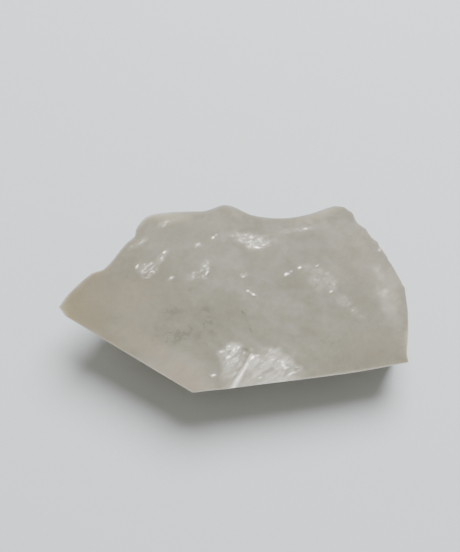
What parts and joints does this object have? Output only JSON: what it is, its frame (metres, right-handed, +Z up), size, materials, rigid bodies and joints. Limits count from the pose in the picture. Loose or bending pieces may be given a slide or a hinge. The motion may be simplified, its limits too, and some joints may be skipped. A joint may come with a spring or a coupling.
{
  "type": "quartz crystal",
  "caption": "Milky quartz crystal point split lengthwise, lying on one prism face with its flat shell-fractured split face up.",
  "frame": {"origin": "bottom centre of the stone's bounding box, on the plane it rests on", "axes": "+Z up through the split face, +X along the length away from the point, +Y towards the scalloped rear rim"},
  "size_m": [0.0598, 0.035, 0.0128],
  "materials": {
    "quartz": "cloudy translucent quartz with a waxy, finely frosted broken surface"
  },
  "bodies": {
    "root": {"quartz_crystal": "quartz"}
  },
  "joints": []
}
